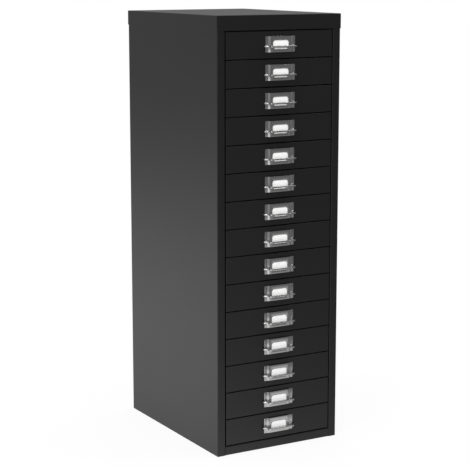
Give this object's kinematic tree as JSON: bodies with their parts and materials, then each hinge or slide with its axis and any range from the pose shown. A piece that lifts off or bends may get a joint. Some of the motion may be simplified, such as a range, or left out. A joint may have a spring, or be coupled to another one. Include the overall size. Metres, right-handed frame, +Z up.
{
  "type": "multi-drawer cabinet",
  "caption": "Tall narrow floor-standing steel cabinet with a stack of shallow flush drawers, each with a card-holder pull, for A4 papers.",
  "frame": {"origin": "floor level, under the middle of the object's outline with the handles' reach included", "axes": "+Z up, +X to the right as seen by a person facing the drawers, the drawers open towards -Y"},
  "size_m": [0.279, 0.3964, 0.86],
  "materials": {
    "body_paint": "satin black powder coat",
    "drawer_paint": "satin black powder coat",
    "handle_plating": "satin plated pressed steel",
    "card_white": "plain white card",
    "runner_steel": "zinc-plated steel"
  },
  "bodies": {
    "cabinet": {"casing_shell": "body_paint", "top_cap": "body_paint", "head_rail": "body_paint", "base_pan": "body_paint", "runner_panel_left": "body_paint", "runner_panel_right": "body_paint", "channel_runners_left": "runner_steel", "channel_runners_right": "runner_steel"},
    "drawer_01": {"drawer_01_tray": "drawer_paint", "drawer_01_handle": "handle_plating", "drawer_01_card": "card_white"},
    "drawer_02": {"drawer_02_tray": "drawer_paint", "drawer_02_handle": "handle_plating", "drawer_02_card": "card_white"},
    "drawer_03": {"drawer_03_tray": "drawer_paint", "drawer_03_handle": "handle_plating", "drawer_03_card": "card_white"},
    "drawer_04": {"drawer_04_tray": "drawer_paint", "drawer_04_handle": "handle_plating", "drawer_04_card": "card_white"},
    "drawer_05": {"drawer_05_tray": "drawer_paint", "drawer_05_handle": "handle_plating", "drawer_05_card": "card_white"},
    "drawer_06": {"drawer_06_tray": "drawer_paint", "drawer_06_handle": "handle_plating", "drawer_06_card": "card_white"},
    "drawer_07": {"drawer_07_tray": "drawer_paint", "drawer_07_handle": "handle_plating", "drawer_07_card": "card_white"},
    "drawer_08": {"drawer_08_tray": "drawer_paint", "drawer_08_handle": "handle_plating", "drawer_08_card": "card_white"},
    "drawer_09": {"drawer_09_tray": "drawer_paint", "drawer_09_handle": "handle_plating", "drawer_09_card": "card_white"},
    "drawer_10": {"drawer_10_tray": "drawer_paint", "drawer_10_handle": "handle_plating", "drawer_10_card": "card_white"},
    "drawer_11": {"drawer_11_tray": "drawer_paint", "drawer_11_handle": "handle_plating", "drawer_11_card": "card_white"},
    "drawer_12": {"drawer_12_tray": "drawer_paint", "drawer_12_handle": "handle_plating", "drawer_12_card": "card_white"},
    "drawer_13": {"drawer_13_tray": "drawer_paint", "drawer_13_handle": "handle_plating", "drawer_13_card": "card_white"},
    "drawer_14": {"drawer_14_tray": "drawer_paint", "drawer_14_handle": "handle_plating", "drawer_14_card": "card_white"},
    "drawer_15": {"drawer_15_tray": "drawer_paint", "drawer_15_handle": "handle_plating", "drawer_15_card": "card_white"}
  },
  "joints": [
    {"name": "drawer_01_slide", "type": "slide", "parent": "cabinet", "child": "drawer_01", "axis": [0, -1, 0], "range_m": [0, 0.29]},
    {"name": "drawer_02_slide", "type": "slide", "parent": "cabinet", "child": "drawer_02", "axis": [0, -1, 0], "range_m": [0, 0.29]},
    {"name": "drawer_03_slide", "type": "slide", "parent": "cabinet", "child": "drawer_03", "axis": [0, -1, 0], "range_m": [0, 0.29]},
    {"name": "drawer_04_slide", "type": "slide", "parent": "cabinet", "child": "drawer_04", "axis": [0, -1, 0], "range_m": [0, 0.29]},
    {"name": "drawer_05_slide", "type": "slide", "parent": "cabinet", "child": "drawer_05", "axis": [0, -1, 0], "range_m": [0, 0.29]},
    {"name": "drawer_06_slide", "type": "slide", "parent": "cabinet", "child": "drawer_06", "axis": [0, -1, 0], "range_m": [0, 0.29]},
    {"name": "drawer_07_slide", "type": "slide", "parent": "cabinet", "child": "drawer_07", "axis": [0, -1, 0], "range_m": [0, 0.29]},
    {"name": "drawer_08_slide", "type": "slide", "parent": "cabinet", "child": "drawer_08", "axis": [0, -1, 0], "range_m": [0, 0.29]},
    {"name": "drawer_09_slide", "type": "slide", "parent": "cabinet", "child": "drawer_09", "axis": [0, -1, 0], "range_m": [0, 0.29]},
    {"name": "drawer_10_slide", "type": "slide", "parent": "cabinet", "child": "drawer_10", "axis": [0, -1, 0], "range_m": [0, 0.29]},
    {"name": "drawer_11_slide", "type": "slide", "parent": "cabinet", "child": "drawer_11", "axis": [0, -1, 0], "range_m": [0, 0.29]},
    {"name": "drawer_12_slide", "type": "slide", "parent": "cabinet", "child": "drawer_12", "axis": [0, -1, 0], "range_m": [0, 0.29]},
    {"name": "drawer_13_slide", "type": "slide", "parent": "cabinet", "child": "drawer_13", "axis": [0, -1, 0], "range_m": [0, 0.29]},
    {"name": "drawer_14_slide", "type": "slide", "parent": "cabinet", "child": "drawer_14", "axis": [0, -1, 0], "range_m": [0, 0.29]},
    {"name": "drawer_15_slide", "type": "slide", "parent": "cabinet", "child": "drawer_15", "axis": [0, -1, 0], "range_m": [0, 0.29]}
  ]
}
